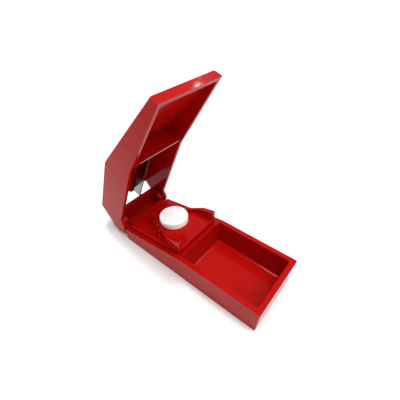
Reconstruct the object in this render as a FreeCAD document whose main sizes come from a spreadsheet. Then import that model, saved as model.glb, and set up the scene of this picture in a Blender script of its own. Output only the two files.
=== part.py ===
import FreeCAD, Part
import Sketcher
import math
import os

# Tablet cutter: a base tray with a storage compartment, a V-shaped tablet holder set into its rear
# well, and a hinged lid that carries a thin blade.  Length along X with the hinge at X = 0 and the
# storage end forward, width along Y, up along Z.  The origin lies on the underside, below the hinge.

doc = FreeCAD.newDocument("tablet_cutter")

# Driving dimensions, in millimetres and degrees.
SIZES = [
    ("tray_width", 32.0),
    ("tray_front", 81.0),
    ("tray_height", 13.0),
    ("tray_rear", 5.2),
    ("rear_rim", 6.9),
    ("bend_along", 43.0),
    ("side_taper", 0.45),
    ("floor_thick", 1.8),
    ("rim_width", 2.3),
    ("front_round", 0.7),
    ("under_round", 0.5),
    ("divider_front", 42.0),
    ("divider_thick", 1.9),
    ("store_taper", 1.3),
    ("store_round", 1.2),
    ("well_wall", 2.5),
    ("wall_step", 0.1),
    ("well_start", 6.4),
    ("ledge_width", 1.2),
    ("cheek_gap", 0.4),
    ("cheek_thick", 2.3),
    ("rear_wall_top", 12.5),
    ("trough_height", 4.2),
    ("cheek_round", 3.4),
    ("hinge_height", 7.6),
    ("pin_radius", 1.6),
    ("pin_play", 0.05),
    ("ear_radius", 4.6),
    ("holder_start", 3.3),
    ("holder_gap", 0.3),
    ("holder_front_gap", 0.3),
    ("plate_thick", 1.8),
    ("plate_rear_top", 8.2),
    ("plate_slope", 0.145),
    ("seat_top", 13.7),
    ("seat_slope", 0.06),
    ("arm_top", 13.6),
    ("arm_slope", 0.25),
    ("arm_thick", 2.2),
    ("vee_thick", 1.2),
    ("rib_drop", 0.6),
    ("vee_apex", 9.69),
    ("vee_angle", 27.0),
    ("slot_play", 0.55),
    ("lid_gap", 0.3),
    ("lid_rear_top", 21.6),
    ("lid_peak_along", 33.3),
    ("lid_peak", 26.9),
    ("lid_front_top", 17.1),
    ("lid_front_back", 0.7),
    ("lid_wall", 1.7),
    ("lid_top_thick", 2.0),
    ("rib_along", 44.2),
    ("rib_thick", 1.3),
    ("lid_open", 59.0),
    ("blade_thick", 0.5),
    ("blade_tip", 8.4),
    ("blade_front", 37.0),
    ("blade_tip_height", 11.4),
    ("blade_slope", 0.171),
    ("blade_tall", 7.6),
    ("bevel_long", 0.7),
    ("bevel_deep", 0.2),
    ("rail_rise", 5.8),
    ("rail_half", 1.5),
    ("tablet_radius", 6.9),
    ("tablet_thick", 3.4),
    ("tablet_play", 0.05),
    ("kerf_play", 0.2),
]

sheet = doc.addObject("Spreadsheet::Sheet", "Sizes")
for row, (name, value) in enumerate(SIZES, start=1):
    sheet.set("A%d" % row, name)
    sheet.set("B%d" % row, str(value))
    sheet.setAlias("B%d" % row, name)
doc.recompute()


def size(text):
    """Turn plain size names in an expression into references to the sheet."""
    words = text.split(" ")
    names = [name for name, value in SIZES]
    return " ".join("Sizes." + word if word in names else word for word in words)


def new_body(label):
    body = doc.addObject("PartDesign::Body", label)
    body.Label = label
    return body


def origin_plane(body, role):
    for item in body.Origin.OriginFeatures:
        if item.Role == role:
            return item


def attach(body, sketch, role, offset=None):
    sketch.AttachmentSupport = [(origin_plane(body, role), "")]
    sketch.MapMode = "FlatFace"
    if offset:
        sketch.setExpression(".AttachmentOffset.Base.z", size(offset))


def outline(body, label, role, corners, offset=None):
    """A closed outline of straight lines; every corner is driven by two size expressions."""
    sketch = body.newObject("Sketcher::SketchObject", label)
    attach(body, sketch, role, offset)
    count = len(corners)
    spots = [FreeCAD.Vector(10 * n, (n * n) % 7, 0) for n in range(count)]
    for n in range(count):
        sketch.addGeometry(Part.LineSegment(spots[n], spots[(n + 1) % count]), False)
    for n in range(count):
        sketch.addConstraint(Sketcher.Constraint("Coincident", n, 2, (n + 1) % count, 1))
    for n, (across, up) in enumerate(corners):
        k = sketch.addConstraint(Sketcher.Constraint("DistanceX", -1, 1, n, 1, spots[n].x))
        sketch.setExpression("Constraints[%d]" % k, size(across))
        k = sketch.addConstraint(Sketcher.Constraint("DistanceY", -1, 1, n, 1, spots[n].y))
        sketch.setExpression("Constraints[%d]" % k, size(up))
    doc.recompute()
    return sketch


def disc(body, label, role, across, up, radius, offset=None):
    """A circle whose centre and radius are driven by size expressions."""
    sketch = body.newObject("Sketcher::SketchObject", label)
    attach(body, sketch, role, offset)
    circle = Part.Circle(FreeCAD.Vector(1, 5, 0), FreeCAD.Vector(0, 0, 1), 2)
    sketch.addGeometry(circle, False)
    for kind, text in (("DistanceX", across), ("DistanceY", up)):
        k = sketch.addConstraint(Sketcher.Constraint(kind, -1, 1, 0, 3, 1.0))
        sketch.setExpression("Constraints[%d]" % k, size(text))
    k = sketch.addConstraint(Sketcher.Constraint("Radius", 0, 2.0))
    sketch.setExpression("Constraints[%d]" % k, size(radius))
    doc.recompute()
    return sketch


def add(body, label, sketch, length, middle=True):
    pad = body.newObject("PartDesign::Pad", label)
    pad.Profile = sketch
    pad.setExpression("Length", size(length))
    pad.Midplane = middle
    sketch.Visibility = False
    doc.recompute()
    return pad


def cut(body, label, sketch, length, middle=True):
    pocket = body.newObject("PartDesign::Pocket", label)
    pocket.Profile = sketch
    pocket.setExpression("Length", size(length))
    pocket.Midplane = middle
    sketch.Visibility = False
    doc.recompute()
    return pocket


def block(half_wide, back, front):
    """Corners of a rectangle about the X axis, seen from above."""
    other_half = "0 - " + half_wide
    return [(back, other_half), (front, other_half), (front, half_wide), (back, half_wide)]


def edges_where(shape, test):
    """Names of the edges whose two ends and middle all pass the test."""
    found = []
    for n, edge in enumerate(shape.Edges, start=1):
        middle = edge.valueAt((edge.FirstParameter + edge.LastParameter) / 2)
        points = [v.Point for v in edge.Vertexes] + [middle]
        if all(test(p) for p in points):
            found.append("Edge%d" % n)
    return found


def rounded(body, label, names, radius, kind="PartDesign::Fillet"):
    base = body.Tip
    feature = body.newObject(kind, label)
    feature.Base = (base, names)
    if kind == "PartDesign::Fillet":
        feature.Radius = radius
    else:
        feature.Size = radius
    doc.recompute()
    return feature


def near(value, target, slack=0.05):
    return abs(value - target) < slack


def value_of(name):
    return float(sheet.get(name))


width = value_of("tray_width")
front = value_of("tray_front")
height = value_of("tray_height")

# Widths and places that follow from the tray, the lid and their clearances.
# The well's wall is never thinner than the lid's, so that the holder also clears the shut lid.
WELL_HALF = "( tray_width / 2 - max( well_wall ; lid_wall + wall_step ) )"
HOLDER_HALF = "( tray_width / 2 - max( well_wall ; lid_wall + wall_step ) - holder_gap )"
CHEEK_HALF = "( tray_width / 2 - lid_wall - cheek_gap )"
CHEEK_INNER = "( tray_width / 2 - lid_wall - cheek_gap - cheek_thick )"
DIVIDER_BACK = "( divider_front - divider_thick )"
HOLDER_END = "( divider_front - divider_thick - holder_front_gap )"
KERF = "( blade_thick + 2 * kerf_play )"

# The V of the holder opens by this much to each side per unit of length, and the tablet rests in it.
VEE_RATE = "tan( vee_angle * 1 deg )"
VEE_COSINE = "cos( vee_angle * 1 deg )"
TABLET_ALONG = "( vee_apex + ( tablet_radius + tablet_play ) / sin( vee_angle * 1 deg ) )"

# Heights of the sloping lines at a given distance along: rim, platform, seat, arms and blade edge.
RIM_RISE = "( tray_height - rear_rim ) / ( bend_along - tray_rear )"


def rim_at(along):
    return "rear_rim + ( " + along + " - tray_rear ) * " + RIM_RISE


def plate_at(along):
    return "plate_rear_top + plate_slope * ( " + along + " - tray_rear )"


def seat_at(along):
    return "seat_top + seat_slope * ( " + along + " - 18 )"


def arm_at(along):
    return "arm_top + arm_slope * ( " + along + " - 16 )"


def edge_at(along):
    return "blade_tip_height + blade_slope * ( " + along + " - blade_tip )"


# Base tray: tapered block, sloping rear rim, hinge cheeks, well, storage compartment.
base = new_body("base_tray")
foot = outline(base, "FootOutline", "XY_Plane",
               block("( tray_width / 2 - side_taper )", "tray_rear + side_taper", "tray_front - side_taper"))
tray_block = add(base, "TrayBlock", foot, "tray_height", middle=False)
tray_block.setExpression("TaperAngle", "atan(Sizes.side_taper / Sizes.tray_height)")
doc.recompute()
slope = outline(base, "RimSlope", "XZ_Plane", [
    ("tray_rear - 2", rim_at("( tray_rear - 2 )")),
    ("bend_along", "tray_height"),
    ("bend_along", "tray_height + 3"),
    ("tray_rear - 2", "tray_height + 3")])
cut(base, "RearRim", slope, "tray_width + 4")
upright = edges_where(base.Tip.Shape, lambda p: p.x > front - 1 and near(abs(p.y), width / 2, 0.6))
rounded(base, "FrontCorners", upright, value_of("front_round"))

cheek = outline(base, "CheekOutline", "XZ_Plane", [
    ("tray_rear + 1", "0"),
    ("0 - 1.2", "0"),
    ("0 - 4.2", "3.2"),
    ("0 - 4.2", "rear_wall_top"),
    ("0 - 2.2", "rear_wall_top"),
    ("0 - 2.2", "hinge_height"),
    ("tray_rear + 1", "hinge_height - 1.2")])
add(base, "Cheeks", cheek, CHEEK_HALF + " * 2")
eye = disc(base, "CheekDisc", "XZ_Plane", "0", "hinge_height", "cheek_round")
add(base, "CheekDiscs", eye, CHEEK_HALF + " * 2")
gap = outline(base, "CheekGap", "XZ_Plane", [
    ("0 - 2.4", "rear_wall_top + 4"),
    ("0 - 2.4", "trough_height"),
    ("well_start + 0.5", "trough_height"),
    ("well_start + 0.5", "rear_wall_top + 4")])
cut(base, "CheekSpace", gap, CHEEK_INNER + " * 2")
axle = disc(base, "PinHole", "XZ_Plane", "0", "hinge_height", "pin_radius + pin_play")
cut(base, "PinHoles", axle, CHEEK_HALF + " * 2 + 1")

deep = outline(base, "WellOutline", "XZ_Plane", [
    ("well_start", "floor_thick"),
    (DIVIDER_BACK, "floor_thick"),
    (DIVIDER_BACK, "tray_height + 4"),
    ("well_start", "tray_height + 4")])
cut(base, "Well", deep, "( " + WELL_HALF + " - ledge_width ) * 2")
shelf = outline(base, "LedgeOutline", "XZ_Plane", [
    ("well_start", plate_at("well_start") + " - plate_thick"),
    (DIVIDER_BACK, plate_at(DIVIDER_BACK) + " - plate_thick"),
    (DIVIDER_BACK, "tray_height + 4"),
    ("well_start", "tray_height + 4")])
cut(base, "Ledges", shelf, WELL_HALF + " * 2")

# The storage compartment is shaped as a tapered, rounded block of its own and taken out of the tray.
store = new_body("storage_space")
bed = outline(store, "StoreFloor", "XY_Plane",
              block("( tray_width / 2 - rim_width - store_taper )", "divider_front + store_taper",
                    "tray_front - rim_width - store_taper"), "floor_thick")
store_block = add(store, "StoreBlock", bed, "tray_height - floor_thick", middle=False)
store_block.setExpression("TaperAngle", "atan(Sizes.store_taper / (Sizes.tray_height - Sizes.floor_thick))")
doc.recompute()
below_mouth = edges_where(store.Tip.Shape, lambda p: p.z < height - 0.1)
uprights = [e for e in edges_where(store.Tip.Shape, lambda p: True)
            if store.Tip.Shape.getElement(e).BoundBox.ZLength > 5]
rounded(store, "StoreRounding", below_mouth + uprights, value_of("store_round"))
store_cut = base.newObject("PartDesign::Boolean", "StoreCut")
store_cut.Type = "Cut"
store_cut.setObjects([store])
doc.recompute()
under = edges_where(base.Tip.Shape, lambda p: near(p.z, 0) and p.x > value_of("tray_rear") + 0.5)
rounded(base, "UnderEdge", under, value_of("under_round"))
wall_tops = edges_where(base.Tip.Shape, lambda p: near(p.z, value_of("rear_wall_top")) and p.x < 0)
rounded(base, "RearWallEdge", wall_tops, 0.5)

# Tablet holder: sloping platform, raised seat, two arms in a V, ribs outside the arms, blade slot.
holder = new_body("tablet_holder")
plate = outline(holder, "PlateOutline", "XZ_Plane", [
    ("well_start + 0.4", plate_at("( well_start + 0.4 )") + " - plate_thick"),
    (HOLDER_END, plate_at(HOLDER_END) + " - plate_thick"),
    (HOLDER_END, plate_at(HOLDER_END)),
    ("well_start + 0.4", plate_at("( well_start + 0.4 )"))])
add(holder, "Plate", plate, HOLDER_HALF + " * 2")
tail = outline(holder, "TailOutline", "XZ_Plane", [
    ("holder_start", plate_at("holder_start") + " - plate_thick"),
    ("well_start + 2", plate_at("( well_start + 2 )") + " - plate_thick"),
    ("well_start + 2", plate_at("( well_start + 2 )")),
    ("holder_start", plate_at("holder_start"))])
add(holder, "Tail", tail, CHEEK_INNER + " * 2 - 2 * cheek_gap")

# The V seen from above: the inner faces run out from the apex, then straight along the tray.
INNER = "( " + HOLDER_HALF + " - arm_thick )"
INNER_TURN = "vee_apex + " + INNER + " / " + VEE_RATE
OUTER_TURN = "vee_apex + ( " + HOLDER_HALF + " - vee_thick / " + VEE_COSINE + " ) / " + VEE_RATE
OUTER_APEX = "( vee_apex - vee_thick / " + VEE_COSINE + " / " + VEE_RATE + " )"
seat = outline(holder, "SeatOutline", "XY_Plane", [
    (OUTER_APEX, "0"),
    (OUTER_TURN, "0 - " + HOLDER_HALF),
    (HOLDER_END, "0 - " + HOLDER_HALF),
    (HOLDER_END, HOLDER_HALF),
    (OUTER_TURN, HOLDER_HALF)], "4")
add(holder, "VeeBlock", seat, "24", middle=False)
for n in range(4):
    start = "( vee_apex + 2.6 + %.1f )" % (3.7 * n)
    end = "( vee_apex + 4.2 + %.1f )" % (3.7 * n)
    reach_start = "( " + start + " - " + OUTER_APEX + " ) * " + VEE_RATE
    reach_end = "( " + end + " - " + OUTER_APEX + " ) * " + VEE_RATE
    for side, sign in (("Near", "0 - "), ("Far", "0 + ")):
        grip = outline(holder, "%sRib%d" % (side, n + 1), "XY_Plane", [
            (start, sign + "( " + reach_start + " - 0.8 )"),
            (end, sign + "( " + reach_end + " - 0.8 )"),
            (end, sign + "( " + reach_end + " + 1.3 )"),
            (start, sign + "( " + reach_start + " + 1.3 )")], "4")
        add(holder, "%sGrip%d" % (side, n + 1), grip, arm_at(start) + " - rib_drop - 4", middle=False)
PAST_HOLDER = "( " + HOLDER_END + " + 5 )"
SLOT_END = "( " + HOLDER_END + " - 3 )"
HOLLOW_END = "( " + HOLDER_END + " - 2 )"
lower = outline(holder, "UnderVee", "XZ_Plane", [
    ("0", "0"),
    (PAST_HOLDER, "0"),
    (PAST_HOLDER, plate_at(PAST_HOLDER) + " - plate_thick"),
    ("0", plate_at("0") + " - plate_thick")])
cut(holder, "UnderVeeCut", lower, "tray_width + 4")
upper = outline(holder, "ArmTopLine", "XZ_Plane", [
    ("0", arm_at("0")),
    (PAST_HOLDER, arm_at(PAST_HOLDER)),
    (PAST_HOLDER, "40"),
    ("0", "40")])
cut(holder, "ArmTops", upper, "tray_width + 4")
rear_drop = outline(holder, "ArmRearLine", "XZ_Plane", [
    ("vee_apex - 8", "40"),
    ("vee_apex - 8", plate_at("( vee_apex - 8 )")),
    ("vee_apex + 2.6", plate_at("( vee_apex + 2.6 )")),
    ("vee_apex + 2.6", "40")])
cut(holder, "ArmRearEnd", rear_drop, "tray_width + 4")

inside = outline(holder, "InsideVee", "XY_Plane", [
    ("vee_apex", "0"),
    (INNER_TURN, "0 - " + INNER),
    (PAST_HOLDER, "0 - " + INNER),
    (PAST_HOLDER, INNER),
    (INNER_TURN, INNER)])
seat_turn = FreeCAD.Rotation(FreeCAD.Vector(0, -1, 0), 3.0)
inside.AttachmentOffset = FreeCAD.Placement(FreeCAD.Vector(0, 0, 1), seat_turn)
inside.setExpression(".AttachmentOffset.Rotation.Angle", "atan(Sizes.seat_slope)")
inside.setExpression(".AttachmentOffset.Base.z", size(seat_at("0")))
seat_cut = cut(holder, "SeatCut", inside, "30", middle=False)
seat_cut.Reversed = True
doc.recompute()
kerf_slot = outline(holder, "BladeSlot", "XZ_Plane", [
    ("vee_apex + 1", edge_at("( vee_apex + 1 )") + " - 0.6"),
    (SLOT_END, edge_at(SLOT_END) + " - 0.6"),
    (SLOT_END, "30"),
    ("vee_apex + 1", "30")])
cut(holder, "SlotCut", kerf_slot, "blade_thick + 2 * slot_play")
hollow = outline(holder, "UnderSeat", "XZ_Plane", [
    ("vee_apex + 9.5", "0"),
    (HOLLOW_END, "0"),
    (HOLLOW_END, seat_at(HOLLOW_END) + " - 2"),
    ("vee_apex + 9.5", seat_at("( vee_apex + 9.5 )") + " - 2")])
cut(holder, "SeatHollow", hollow, "10.5")

# Lid, drawn closed: bent top, side and front walls, ears with stub pins, cross rib, blade rails.
REAR_RATE = "( lid_peak - lid_rear_top ) / lid_peak_along"
FRONT_RATE = "( lid_peak - lid_front_top ) / ( tray_front - lid_front_back - lid_peak_along )"
lid = new_body("lid_shell")
skin = outline(lid, "LidOutline", "XZ_Plane", [
    ("0", "lid_rear_top"),
    ("lid_peak_along", "lid_peak"),
    ("tray_front - lid_front_back", "lid_front_top"),
    ("tray_front", "tray_height + lid_gap"),
    ("bend_along", "tray_height + lid_gap"),
    ("tray_rear", "rear_rim + lid_gap"),
    ("ear_radius * 0.6", "hinge_height - ear_radius * 0.6"),
    ("0", "hinge_height - ear_radius * 0.8"),
    ("0 - ear_radius * 0.9", "hinge_height + ear_radius * 0.3")])
add(lid, "LidBlock", skin, "tray_width")
ear = disc(lid, "EarOutline", "XZ_Plane", "0", "hinge_height", "ear_radius")
add(lid, "Ears", ear, "tray_width")
INNER_DROP = "lid_top_thick * 1.02"
room = outline(lid, "LidInside", "XZ_Plane", [
    ("0 - 14", "lid_rear_top - " + INNER_DROP + " - 14 * " + REAR_RATE),
    ("lid_peak_along", "lid_peak - " + INNER_DROP),
    ("tray_front - lid_wall - lid_front_back",
     "lid_front_top + lid_wall * " + FRONT_RATE + " - " + INNER_DROP),
    ("tray_front - lid_wall", "tray_height"),
    ("tray_front - lid_wall", "0 - 6"),
    ("0 - 14", "0 - 6")])
cut(lid, "LidRoom", room, "tray_width - 2 * lid_wall")
stub = disc(lid, "PinOutline", "XZ_Plane", "0", "hinge_height", "pin_radius", "tray_width / 2 - 0.5")
far_pin = add(lid, "FarPin", stub, "tray_width / 2 - 0.5 - " + CHEEK_INNER + " - 0.1", middle=False)
far_pin.Reversed = True
doc.recompute()
other = disc(lid, "NearPinOutline", "XZ_Plane", "0", "hinge_height", "pin_radius",
             "0 - tray_width / 2 + 0.5")
add(lid, "NearPin", other, "tray_width / 2 - 0.5 - " + CHEEK_INNER + " - 0.1", middle=False)
cross = outline(lid, "CrossRibOutline", "XZ_Plane", [
    ("rib_along", "tray_height + 0.9"),
    ("rib_along + rib_thick", "tray_height + 0.9"),
    ("rib_along + rib_thick", "lid_peak - 3"),
    ("rib_along", "lid_peak - 3")])
add(lid, "CrossRib", cross, "tray_width - 2 * lid_wall + 1")
rail = outline(lid, "RailOutline", "XZ_Plane", [
    ("5.5", edge_at("5.5") + " + rail_rise"),
    ("blade_front + 1.5", edge_at("( blade_front + 1.5 )") + " + rail_rise"),
    ("rib_along + 0.5", edge_at("( blade_front + 1.5 )") + " + rail_rise"),
    ("rib_along + 0.5", "lid_peak - 3.2"),
    ("lid_peak_along", "lid_peak - 1"),
    ("5.5", "lid_rear_top - 0.4")])
add(lid, "BladeRails", rail, "rail_half * 2")

BLADE = [
    ("blade_tip", edge_at("blade_tip")),
    ("blade_front", edge_at("blade_front")),
    ("blade_front", edge_at("blade_front") + " + blade_tall - 0.6"),
    ("blade_front - 0.8", edge_at("blade_front") + " + blade_tall - 0.2"),
    ("blade_tip - 1.4", edge_at("blade_tip") + " + blade_tall - 0.2")]
steel_room = outline(lid, "BladeRoom", "XZ_Plane", BLADE)
cut(lid, "BladeGap", steel_room, "blade_thick")
ridge = edges_where(lid.Tip.Shape, lambda p: near(abs(p.y), width / 2, 0.01) and p.z > height + 1)
long_edges = [e for e in ridge if lid.Tip.Shape.getElement(e).Length > 6]
rounded(lid, "LidEdges", long_edges, 0.8)

# Blade: a thin steel plate standing in the middle plane, ground to an edge from both sides.
blade = new_body("blade")
plate_of_steel = outline(blade, "BladeOutline", "XZ_Plane", BLADE)
add(blade, "BladePlate", plate_of_steel, "blade_thick")


def on_edge(p):
    line = value_of("blade_tip_height") + value_of("blade_slope") * (p.x - value_of("blade_tip"))
    return near(p.z, line, 0.02)


half_steel = value_of("blade_thick") / 2
for side in (-1, 1):
    ground = edges_where(blade.Tip.Shape, lambda p: on_edge(p) and near(p.y, side * half_steel, 0.01))
    bevel = rounded(blade, "GroundEdge", ground, 0.2, kind="PartDesign::Chamfer")
    bevel.ChamferType = "Two distances"
    bevel.Size = value_of("bevel_long")
    bevel.Size2 = value_of("bevel_deep")
    doc.recompute()
    if "Invalid" in bevel.State or not near(bevel.Shape.BoundBox.YLength, value_of("blade_thick"), 0.01):
        bevel.FlipDirection = True
        doc.recompute()

# Tablet: two halves of one round tablet, with the narrow path the blade takes between them.
TABLET_Z = seat_at(TABLET_ALONG)
halves = []
for name, sign in (("tablet_near_half", -1), ("tablet_far_half", 1)):
    half = new_body(name)
    sketch = half.newObject("Sketcher::SketchObject", name + "_outline")
    attach(half, sketch, "XY_Plane")
    radius = value_of("tablet_radius")
    begin = 4 if sign > 0 else 184
    circle = Part.Circle(FreeCAD.Vector(0, 0, 0), FreeCAD.Vector(0, 0, 1), radius)
    arc = Part.ArcOfCircle(circle, math.radians(begin), math.radians(begin + 172))
    sketch.addGeometry(arc, False)
    left = FreeCAD.Vector(-6, sign * 0.5, 0)
    right = FreeCAD.Vector(6, sign * 0.5, 0)
    sketch.addGeometry(Part.LineSegment(left, right), False)
    sketch.addConstraint(Sketcher.Constraint("Coincident", 0, 2, 1, 1))
    sketch.addConstraint(Sketcher.Constraint("Coincident", 0, 1, 1, 2))
    sketch.addConstraint(Sketcher.Constraint("Coincident", 0, 3, -1, 1))
    sketch.addConstraint(Sketcher.Constraint("Horizontal", 1))
    k = sketch.addConstraint(Sketcher.Constraint("Radius", 0, radius))
    sketch.setExpression("Constraints[%d]" % k, "Sizes.tablet_radius")
    k = sketch.addConstraint(Sketcher.Constraint("DistanceY", -1, 1, 1, 1, sign * 0.45))
    sketch.setExpression("Constraints[%d]" % k, size("%d * %s / 2" % (sign, KERF)))
    doc.recompute()
    add(half, name + "_pad", sketch, "tablet_thick", middle=False)
    arcs = [e for e in edges_where(half.Tip.Shape, lambda p: True)
            if half.Tip.Shape.getElement(e).Curve.TypeId == "Part::GeomCircle"]
    rounded(half, name + "_rim", arcs, 0.35, kind="PartDesign::Chamfer")
    seat_turn = FreeCAD.Rotation(FreeCAD.Vector(0, -1, 0), 3.0)
    half.Placement = FreeCAD.Placement(FreeCAD.Vector(25, 0, 14), seat_turn)
    half.setExpression(".Placement.Rotation.Angle", "atan(Sizes.seat_slope)")
    half.setExpression(".Placement.Base.x", size(TABLET_ALONG))
    half.setExpression(".Placement.Base.z", size(TABLET_Z))
    halves.append(half)

# The lid and its blade stand open about the hinge line.
for body in (lid, blade):
    open_turn = FreeCAD.Rotation(FreeCAD.Vector(0, -1, 0), value_of("lid_open"))
    body.Placement = FreeCAD.Placement(FreeCAD.Vector(0, 0, 0), open_turn)
    body.setExpression(".Placement.Rotation.Angle", "Sizes.lid_open")
    body.setExpression(".Placement.Base.x", "Sizes.hinge_height * sin(Sizes.lid_open * 1 deg)")
    body.setExpression(".Placement.Base.z", "Sizes.hinge_height * (1 - cos(Sizes.lid_open * 1 deg))")
doc.recompute()

# Every object is checked before its shape is written.
for item in doc.Objects:
    if "Invalid" in item.State or "Error" in item.State:
        raise RuntimeError(item.Name + " did not rebuild")
os.makedirs("parts", exist_ok=True)
for body in [base, holder, lid, blade] + halves:
    shape = body.Shape
    if shape.isNull() or not shape.isValid():
        raise RuntimeError(body.Label + " has no valid shape")
    if len(shape.Solids) != 1:
        raise RuntimeError(body.Label + " is not one solid")
    shape.exportStep("parts/" + body.Label + ".step")
    box = shape.BoundBox
    extent = (box.XMin, box.XMax, box.YMin, box.YMax, box.ZMin, box.ZMax)
    print(body.Label, round(shape.Volume, 1), [round(v, 2) for v in extent])
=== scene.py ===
"""A tablet cutter: the mouldings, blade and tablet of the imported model, finished for looks.

Length runs along X with the hinge at X = 0, width along Y, up along Z, all in metres.
"""
import math

import bmesh
import bpy
from mathutils import Matrix, Vector


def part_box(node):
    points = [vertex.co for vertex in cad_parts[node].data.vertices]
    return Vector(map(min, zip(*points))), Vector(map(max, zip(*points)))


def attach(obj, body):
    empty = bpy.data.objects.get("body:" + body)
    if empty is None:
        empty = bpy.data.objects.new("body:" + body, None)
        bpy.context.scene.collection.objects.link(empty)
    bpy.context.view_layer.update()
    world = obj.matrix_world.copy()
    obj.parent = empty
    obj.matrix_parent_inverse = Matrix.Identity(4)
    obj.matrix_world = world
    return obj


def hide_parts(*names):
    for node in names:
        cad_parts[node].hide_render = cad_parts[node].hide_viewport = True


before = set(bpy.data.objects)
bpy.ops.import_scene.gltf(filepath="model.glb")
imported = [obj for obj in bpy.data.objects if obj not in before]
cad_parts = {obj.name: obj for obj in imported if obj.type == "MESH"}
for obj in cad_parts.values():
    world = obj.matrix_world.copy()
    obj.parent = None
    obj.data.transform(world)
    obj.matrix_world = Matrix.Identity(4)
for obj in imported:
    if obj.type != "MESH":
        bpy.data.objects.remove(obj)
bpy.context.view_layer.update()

MM = 0.001

# Edge roundings of the mouldings, in millimetres, and how they are divided.
TRAY_ROUNDING = 0.42
HOLDER_ROUNDING = 0.22
LID_ROUNDING = 0.32
STEEL_ROUNDING = 0.03
ROUNDING_STEPS = 3
SHARP_FROM = math.radians(28)
FLAT_UNDER = math.radians(0.4)
WELD = 0.002 * MM
EDGE_MARK = "rubbed_edge"
FLAT_FACE_WEIGHT = 80

# The blade's ground faces lean: the Y part of their normals lies between these.
GROUND_FACE_FROM, GROUND_FACE_TO = 0.8, 0.999

# The pressed tablet: it lies in the V on a seat that climbs a little towards the front.
TABLET_RADIUS = 6.9
TABLET_THICK = 3.4
TABLET_CHAMFER = 0.45
TABLET_CHAMFER_STEPS = 4
TABLET_SIDES = 128
SEAT_CLIMB = math.atan(0.06)

# Camera: where it stands and what it looks at in millimetres, its turn about its own axis in
# degrees, its lens, and how far the picture is shifted sideways.
CAMERA_FROM = Vector((92.8, -69.6, 110.5))
CAMERA_AT = Vector((14.8, 17.4, 10.0))
CAMERA_ROLL = -1.63
CAMERA_LENS = 25.0
CAMERA_SHIFT = 0.0455

# Colours of the red plastics, each with the least roughness of its skin.
TRAY_RED, TRAY_GLOSS = "a00a07", 0.06
HOLDER_RED, HOLDER_GLOSS = "ac0a06", 0.07
LID_RED, LID_GLOSS = "a20a08", 0.06
RUBBED_RED = "bc3025"
DARK_STEEL, PALE_STEEL = "77777a", "9b9b9c"
DARK_POWDER, PALE_POWDER = "f4f3f0", "ffffff"
DARK_BOARD, PALE_BOARD = "e6e6e6", "ebebeb"

# The strip stands this many degrees above X while the lid is open.  The grinding lines of its
# sides run along it, and those of its edge run across it.
STRIP_SLANT = 68.7
STRIP_LINES = (0, math.radians(-STRIP_SLANT), 0)
EDGE_LINES = (0, math.radians(90 - STRIP_SLANT), 0)

# Light: brightness of the room, then the places, targets and widths of the lamps in millimetres.
# The soft light's spread is in degrees, and half the floor's width is in metres.
CEILING_LEVEL, HORIZON_LEVEL = 0.58, 0.39
SOFT_LIGHT_FROM, SOFT_LIGHT_AT = (230, 50, 560), (30, 0, 0)
SOFT_LIGHT_SPREAD, SOFT_LIGHT_STRENGTH = 64, 3.0
TRAY_GLINT_FROM, TRAY_GLINT_AT = (0, 30, 500), (70, 10, 0)
TRAY_GLINT_WIDTH, TRAY_GLINT_BRIGHTNESS = 42, 130
LID_GLINT_FROM, LID_GLINT_AT = (-99, 451, 457), (35, 4, 80)
LID_GLINT_WIDTH, LID_GLINT_BRIGHTNESS = 8, 90
FLOOR_HALF = 3.0


# ---------------------------------------------------------------- materials

def linear(colour):
    """Turn an sRGB hex colour, such as 'c8201a', into the linear values a shader takes."""
    channels = [int(colour[k:k + 2], 16) / 255 for k in (0, 2, 4)]
    curved = [c / 12.92 if c <= 0.04045 else ((c + 0.055) / 1.055) ** 2.4 for c in channels]
    return curved + [1.0]


def per_mm(size):
    """Texture scale that makes a pattern of this size in millimetres on Object coordinates."""
    return 1 / (size * MM)


def add_node(tree, kind, settings, links=None):
    """Add one node, set its properties and input values, and link its inputs."""
    node = tree.nodes.new("ShaderNode" + kind)
    for key, value in settings.items():
        if isinstance(key, str) and hasattr(node, key):
            setattr(node, key, value)
        else:
            node.inputs[key].default_value = value
    for key, source in (links or {}).items():
        tree.links.new(source, node.inputs[key])
    return node


def new_material(name):
    material = bpy.data.materials.new(name)
    material.use_nodes = True
    return material, material.node_tree, material.node_tree.nodes["Principled BSDF"]


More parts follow.
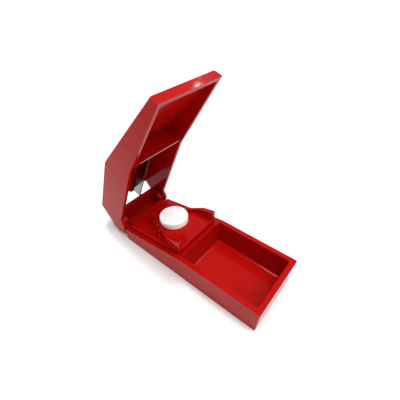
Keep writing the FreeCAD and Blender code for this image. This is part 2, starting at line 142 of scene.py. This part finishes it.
def moulded_gloss_plastic(name, body_colour, gloss):
    """Polypropylene moulded in a polished tool.

    It gives the eye an even, strong red with a clear gloss, a slow waviness of the skin where the
    plastic shrank, hair-fine scuffs from handling, and edges rubbed a little paler.  Its index is
    set below the real 1.49, so that the pale board shows less in the steep walls.
    """
    material, tree, shader = new_material(name)
    shader.inputs["IOR"].default_value = 1.36
    shader.inputs["Specular IOR Level"].default_value = 0.20
    place = add_node(tree, "TexCoord", {}).outputs["Object"]

    # Pigment mixed unevenly, in clouds about 14 mm across.
    clouds = add_node(tree, "TexNoise", {"Scale": per_mm(14), "Detail": 2.0}, {"Vector": place})
    deep = [0.84 * c for c in linear(body_colour)[:3]] + [1.0]
    pigment = add_node(tree, "MixRGB", {"Color1": deep, "Color2": linear(body_colour)},
                       {"Fac": clouds.outputs["Fac"]})

    # Flow streaks along X, drawn 1.2 mm wide so that they show.
    along = add_node(tree, "Mapping", {"Scale": (0.12, 1, 1)}, {"Vector": place})
    streaks = add_node(tree, "TexNoise", {"Scale": per_mm(1.2), "Detail": 3.0},
                       {"Vector": along.outputs["Vector"]})

    # Rubbed edges: the rounded outer edges, in patches about 3 mm long.
    edges = add_node(tree, "Attribute", {"attribute_name": EDGE_MARK})
    wear = add_node(tree, "TexNoise", {"Scale": per_mm(3), "Detail": 3.0}, {"Vector": place})
    rubbed_part = add_node(tree, "Math", {"operation": "MULTIPLY"},
                           {0: edges.outputs["Fac"], 1: wear.outputs["Fac"]})
    worn = add_node(tree, "MixRGB", {"Color2": linear(RUBBED_RED)},
                    {"Fac": rubbed_part.outputs["Value"], "Color1": pigment.outputs["Color"]})
    tree.links.new(worn.outputs["Color"], shader.inputs["Base Color"])

    # Scuffs: short fine lines at a slant, from noise stretched twenty times.
    slant = add_node(tree, "Mapping", {"Rotation": (0.4, 0.3, 0.6), "Scale": (0.05, 1, 1)},
                     {"Vector": place})
    hairs = add_node(tree, "TexNoise", {"Scale": per_mm(0.35), "Detail": 4.0},
                     {"Vector": slant.outputs["Vector"]})
    scuffs = add_node(tree, "ValToRGB", {}, {"Fac": hairs.outputs["Fac"]})
    scuffs.color_ramp.elements[0].position = 0.62
    scuffs.color_ramp.elements[1].position = 0.80
    dull = add_node(tree, "MapRange", {"To Min": gloss, "To Max": gloss + 0.07},
                    {"Value": streaks.outputs["Fac"]})
    duller = add_node(tree, "Math", {"operation": "MULTIPLY_ADD", 1: 0.10},
                      {0: scuffs.outputs["Color"], 2: dull.outputs["Result"]})
    tree.links.new(duller.outputs["Value"], shader.inputs["Roughness"])

    # Skin: sink waves 6 mm long and a fine orange peel of 0.6 mm.
    waves = add_node(tree, "TexNoise", {"Scale": per_mm(6), "Detail": 1.0}, {"Vector": place})
    peel = add_node(tree, "TexNoise", {"Scale": per_mm(0.6), "Detail": 2.0}, {"Vector": place})
    wavy = add_node(tree, "Bump", {"Strength": 0.25, "Distance": 0.08 * MM},
                    {"Height": waves.outputs["Fac"]})
    skin = add_node(tree, "Bump", {"Strength": 0.2, "Distance": 0.008 * MM},
                    {"Height": peel.outputs["Fac"], "Normal": wavy.outputs["Normal"]})
    scratched = add_node(tree, "Bump", {"Strength": 0.3, "Distance": 0.006 * MM, "invert": True},
                         {"Height": scuffs.outputs["Color"], "Normal": skin.outputs["Normal"]})
    tree.links.new(scratched.outputs["Normal"], shader.inputs["Normal"])
    return material


def ground_stainless_steel(name, line_direction, line_width, dullness):
    """Stainless strip, surface ground.

    It gives the eye a grey mirror drawn out along fine grinding lines, a little cloudy.
    """
    material, tree, shader = new_material(name)
    shader.inputs["Metallic"].default_value = 1.0
    place = add_node(tree, "TexCoord", {}).outputs["Object"]
    turned = add_node(tree, "Mapping", {"vector_type": "TEXTURE", "Rotation": line_direction},
                      {"Vector": place})
    drawn = add_node(tree, "Mapping", {"Scale": (0.02, 1, 1)}, {"Vector": turned.outputs["Vector"]})
    lines = add_node(tree, "TexNoise", {"Scale": per_mm(line_width), "Detail": 3.0},
                     {"Vector": drawn.outputs["Vector"]})
    cloud = add_node(tree, "TexNoise", {"Scale": per_mm(5), "Detail": 2.0}, {"Vector": place})
    tint = add_node(tree, "MixRGB", {"Color1": linear(DARK_STEEL), "Color2": linear(PALE_STEEL)},
                    {"Fac": cloud.outputs["Fac"]})
    tree.links.new(tint.outputs["Color"], shader.inputs["Base Color"])
    dull = add_node(tree, "MapRange", {"To Min": dullness, "To Max": dullness + 0.12},
                    {"Value": lines.outputs["Fac"]})
    tree.links.new(dull.outputs["Result"], shader.inputs["Roughness"])
    grooves = add_node(tree, "Bump", {"Strength": 0.3, "Distance": 0.004 * MM},
                       {"Height": lines.outputs["Fac"]})
    tree.links.new(grooves.outputs["Normal"], shader.inputs["Normal"])
    return material


def pressed_powder(name):
    """Tablet powder pressed in a die.

    It gives the eye a chalky white with a close grain, tiny pits and no gloss.
    """
    material, tree, shader = new_material(name)
    shader.inputs["IOR"].default_value = 1.5
    shader.inputs["Specular IOR Level"].default_value = 0.3
    place = add_node(tree, "TexCoord", {}).outputs["Object"]
    # Grains, drawn 0.3 mm across so that they show.
    grain = add_node(tree, "TexNoise", {"Scale": per_mm(0.3), "Detail": 5.0}, {"Vector": place})
    patches = add_node(tree, "TexNoise", {"Scale": per_mm(2.5), "Detail": 3.0}, {"Vector": place})
    both = add_node(tree, "Math", {"operation": "MULTIPLY"},
                    {0: grain.outputs["Fac"], 1: patches.outputs["Fac"]})
    tint = add_node(tree, "ValToRGB", {}, {"Fac": both.outputs["Value"]})
    tint.color_ramp.elements[0].position = 0.10
    tint.color_ramp.elements[0].color = linear(DARK_POWDER)
    tint.color_ramp.elements[1].position = 0.35
    tint.color_ramp.elements[1].color = linear(PALE_POWDER)
    tree.links.new(tint.outputs["Color"], shader.inputs["Base Color"])
    matt = add_node(tree, "MapRange", {"To Min": 0.62, "To Max": 0.85},
                    {"Value": grain.outputs["Fac"]})
    tree.links.new(matt.outputs["Result"], shader.inputs["Roughness"])
    pits = add_node(tree, "TexVoronoi", {"Scale": per_mm(0.5)}, {"Vector": place})
    rough = add_node(tree, "Bump", {"Strength": 0.5, "Distance": 0.03 * MM},
                     {"Height": grain.outputs["Fac"]})
    pitted = add_node(tree, "Bump", {"Strength": 0.25, "Distance": 0.03 * MM},
                      {"Height": pits.outputs["Distance"], "Normal": rough.outputs["Normal"]})
    tree.links.new(pitted.outputs["Normal"], shader.inputs["Normal"])
    return material


def pale_floor_paint(name):
    """Pale studio board: it gives the eye an even, matt grey-white with a barely seen tooth."""
    material, tree, shader = new_material(name)
    place = add_node(tree, "TexCoord", {}).outputs["Object"]
    tooth = add_node(tree, "TexNoise", {"Scale": per_mm(4), "Detail": 2.0}, {"Vector": place})
    tint = add_node(tree, "MixRGB", {"Color1": linear(DARK_BOARD), "Color2": linear(PALE_BOARD)},
                    {"Fac": tooth.outputs["Fac"]})
    tree.links.new(tint.outputs["Color"], shader.inputs["Base Color"])
    shader.inputs["Roughness"].default_value = 0.8
    shader.inputs["Specular IOR Level"].default_value = 0.1
    return material


# ---------------------------------------------------------------- meshes

def finish_piece(bm, name, body, materials, replaced):
    """Make the mesh an object at the origin that rides on its body and stands for its CAD nodes."""
    bmesh.ops.recalc_face_normals(bm, faces=bm.faces)
    for face in bm.faces:
        face.smooth = True
    mesh = bpy.data.meshes.new(name)
    bm.to_mesh(mesh)
    bm.free()
    if "custom_normal" in mesh.attributes:
        mesh.attributes.remove(mesh.attributes["custom_normal"])
    for material in materials:
        mesh.materials.append(material)
    piece = bpy.data.objects.new(name, mesh)
    bpy.context.scene.collection.objects.link(piece)
    flat_faces_first = piece.modifiers.new("flat_faces_first", "WEIGHTED_NORMAL")
    flat_faces_first.mode = "FACE_AREA"
    flat_faces_first.weight = FLAT_FACE_WEIGHT
    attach(piece, body)
    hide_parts(*replaced)
    return piece


def welded_copy(node):
    """A node's mesh with its loose triangles welded and its flat faces made whole."""
    bm = bmesh.new()
    bm.from_mesh(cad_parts[node].data)
    for layer in list(bm.loops.layers.float_vector.values()):
        bm.loops.layers.float_vector.remove(layer)
    bmesh.ops.remove_doubles(bm, verts=bm.verts, dist=WELD)
    bmesh.ops.dissolve_limit(bm, angle_limit=FLAT_UNDER, verts=bm.verts, edges=bm.edges)
    for face in bm.faces:
        face.material_index = 0
    return bm


def round_edges(bm, rounding):
    """Round every sharp edge, and mark the faces of those that bend outwards as rubbed."""
    sharp = [e for e in bm.edges if len(e.link_faces) == 2 and e.calc_face_angle() > SHARP_FROM]
    mark = bm.faces.layers.float.new(EDGE_MARK)
    made = bmesh.ops.bevel(bm, geom=sharp, offset=rounding * MM, offset_type="OFFSET",
                           affect="EDGES", segments=ROUNDING_STEPS, profile=0.5, material=-1,
                           clamp_overlap=True)
    bmesh.ops.recalc_face_normals(bm, faces=bm.faces)
    for face in made["faces"]:
        bends = [e.calc_face_angle_signed(0) for e in face.edges]
        face[mark] = 1.0 if sum(bends) > 0 else 0.0


def moulding(name, node, body, material, rounding):
    bm = welded_copy(node)
    round_edges(bm, rounding)
    return finish_piece(bm, name, body, [material], [node])


def cutting_blade(flat_steel, edge_steel):
    """The steel strip; its two ground faces along the cutting edge have a finish of their own."""
    bm = welded_copy("blade")
    bmesh.ops.recalc_face_normals(bm, faces=bm.faces)
    for face in bm.faces:
        if GROUND_FACE_FROM < abs(face.normal.y) < GROUND_FACE_TO:
            face.material_index = 1
    round_edges(bm, STEEL_ROUNDING)
    return finish_piece(bm, "cutting_blade", "lid", [flat_steel, edge_steel],
                        ["blade"])


def whole_tablet(powder):
    """The tablet before it is cut: a flat disc with chamfered rims, lying on the sloping seat."""
    bm = bmesh.new()
    bmesh.ops.create_cone(bm, cap_ends=True, segments=TABLET_SIDES, radius1=TABLET_RADIUS * MM,
                          radius2=TABLET_RADIUS * MM, depth=TABLET_THICK * MM)
    rims = [e for e in bm.edges if e.calc_face_angle() > SHARP_FROM]
    bmesh.ops.bevel(bm, geom=rims, offset=TABLET_CHAMFER * MM, offset_type="OFFSET",
                    affect="EDGES", segments=TABLET_CHAMFER_STEPS, profile=0.5, material=-1)
    near_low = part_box("tablet_near_half")[0]
    far_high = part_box("tablet_far_half")[1]
    centre = (near_low + far_high) / 2
    lean = Matrix.Rotation(-SEAT_CLIMB, 4, "Y")
    bmesh.ops.transform(bm, matrix=Matrix.Translation(centre) @ lean, verts=bm.verts)
    return finish_piece(bm, "whole_tablet", "base", [powder],
                        ["tablet_near_half", "tablet_far_half"])


# ---------------------------------------------------------------- the pieces

red_tray = moulded_gloss_plastic("red_tray_polypropylene", TRAY_RED, TRAY_GLOSS)
red_holder = moulded_gloss_plastic("red_holder_polypropylene", HOLDER_RED, HOLDER_GLOSS)
red_lid = moulded_gloss_plastic("red_lid_polypropylene", LID_RED, LID_GLOSS)
flat_steel = ground_stainless_steel("ground_strip_steel", STRIP_LINES, 0.25, 0.05)
edge_steel = ground_stainless_steel("ground_edge_steel", EDGE_LINES, 0.15, 0.14)
powder = pressed_powder("pressed_white_powder")

moulding("base_tray_moulding", "base_tray", "base", red_tray, TRAY_ROUNDING)
moulding("tablet_holder_moulding", "tablet_holder", "base", red_holder,
         HOLDER_ROUNDING)
moulding("lid_moulding", "lid_shell", "lid", red_lid, LID_ROUNDING)
cutting_blade(flat_steel, edge_steel)
whole_tablet(powder)


# ---------------------------------------------------------------- stage, light and camera

def studio_floor():
    bm = bmesh.new()
    bmesh.ops.create_grid(bm, x_segments=1, y_segments=1, size=FLOOR_HALF)
    mesh = bpy.data.meshes.new("studio_floor")
    bm.to_mesh(mesh)
    bm.free()
    mesh.materials.append(pale_floor_paint("white_board"))
    floor = bpy.data.objects.new("studio_floor", mesh)
    bpy.context.scene.collection.objects.link(floor)


def lamp_object(name, lamp, place, target):
    """Hang a lamp at a place and aim it at a target, both in millimetres."""
    hung = bpy.data.objects.new(name, lamp)
    hung.location = Vector(place) * MM
    direction = (Vector(target) - Vector(place)).normalized()
    hung.rotation_mode = "QUATERNION"
    hung.rotation_quaternion = direction.to_track_quat("-Z", "Y")
    bpy.context.scene.collection.objects.link(hung)


def wide_soft_light(name, place, target, spread, strength):
    """A far, even light; spread is how wide it looks, in degrees."""
    lamp = bpy.data.lights.new(name, "SUN")
    lamp.angle = math.radians(spread)
    lamp.energy = strength
    lamp_object(name, lamp, place, target)


def small_lamp(name, place, target, width, brightness):
    """A small bright square lamp that shows as a glint; brightness is its radiance."""
    lamp = bpy.data.lights.new(name, "AREA")
    lamp.shape = "SQUARE"
    lamp.size = width * MM
    lamp.energy = brightness * math.pi * (width * MM) ** 2
    lamp_object(name, lamp, place, target)


def room_light(overhead, horizon):
    """A studio room: a pale ceiling, and dimmer walls near the horizon."""
    world = bpy.data.worlds.new("white_room")
    world.use_nodes = True
    tree = world.node_tree
    heading = add_node(tree, "TexCoord", {}).outputs["Generated"]
    height = add_node(tree, "SeparateXYZ", {}, {"Vector": heading})
    level = add_node(tree, "MapRange", {"From Min": 0.05, "From Max": 0.55, "To Min": horizon,
                                        "To Max": overhead}, {"Value": height.outputs["Z"]})
    tree.links.new(level.outputs["Result"], tree.nodes["Background"].inputs["Strength"])
    tree.nodes["Background"].inputs["Color"].default_value = linear("ffffff")
    bpy.context.scene.world = world


def viewing_camera():
    data = bpy.data.cameras.new("viewing_camera")
    data.lens = CAMERA_LENS
    data.shift_x = CAMERA_SHIFT
    data.clip_start = 1 * MM
    data.clip_end = 20.0
    camera = bpy.data.objects.new("viewing_camera", data)
    camera.location = CAMERA_FROM * MM
    aim = (CAMERA_AT - CAMERA_FROM).normalized().to_track_quat("-Z", "Y").to_matrix()
    roll = Matrix.Rotation(math.radians(CAMERA_ROLL), 3, "Z")
    camera.rotation_mode = "QUATERNION"
    camera.rotation_quaternion = (aim @ roll).to_quaternion()
    bpy.context.scene.collection.objects.link(camera)
    bpy.context.scene.camera = camera


studio_floor()
room_light(CEILING_LEVEL, HORIZON_LEVEL)
wide_soft_light("overhead_light", SOFT_LIGHT_FROM, SOFT_LIGHT_AT, SOFT_LIGHT_SPREAD,
                SOFT_LIGHT_STRENGTH)
small_lamp("ceiling_glint", TRAY_GLINT_FROM, TRAY_GLINT_AT, TRAY_GLINT_WIDTH,
           TRAY_GLINT_BRIGHTNESS)
small_lamp("wall_glint", LID_GLINT_FROM, LID_GLINT_AT, LID_GLINT_WIDTH, LID_GLINT_BRIGHTNESS)
viewing_camera()
bpy.context.scene.view_settings.view_transform = "Standard"

bpy.context.view_layer.update()
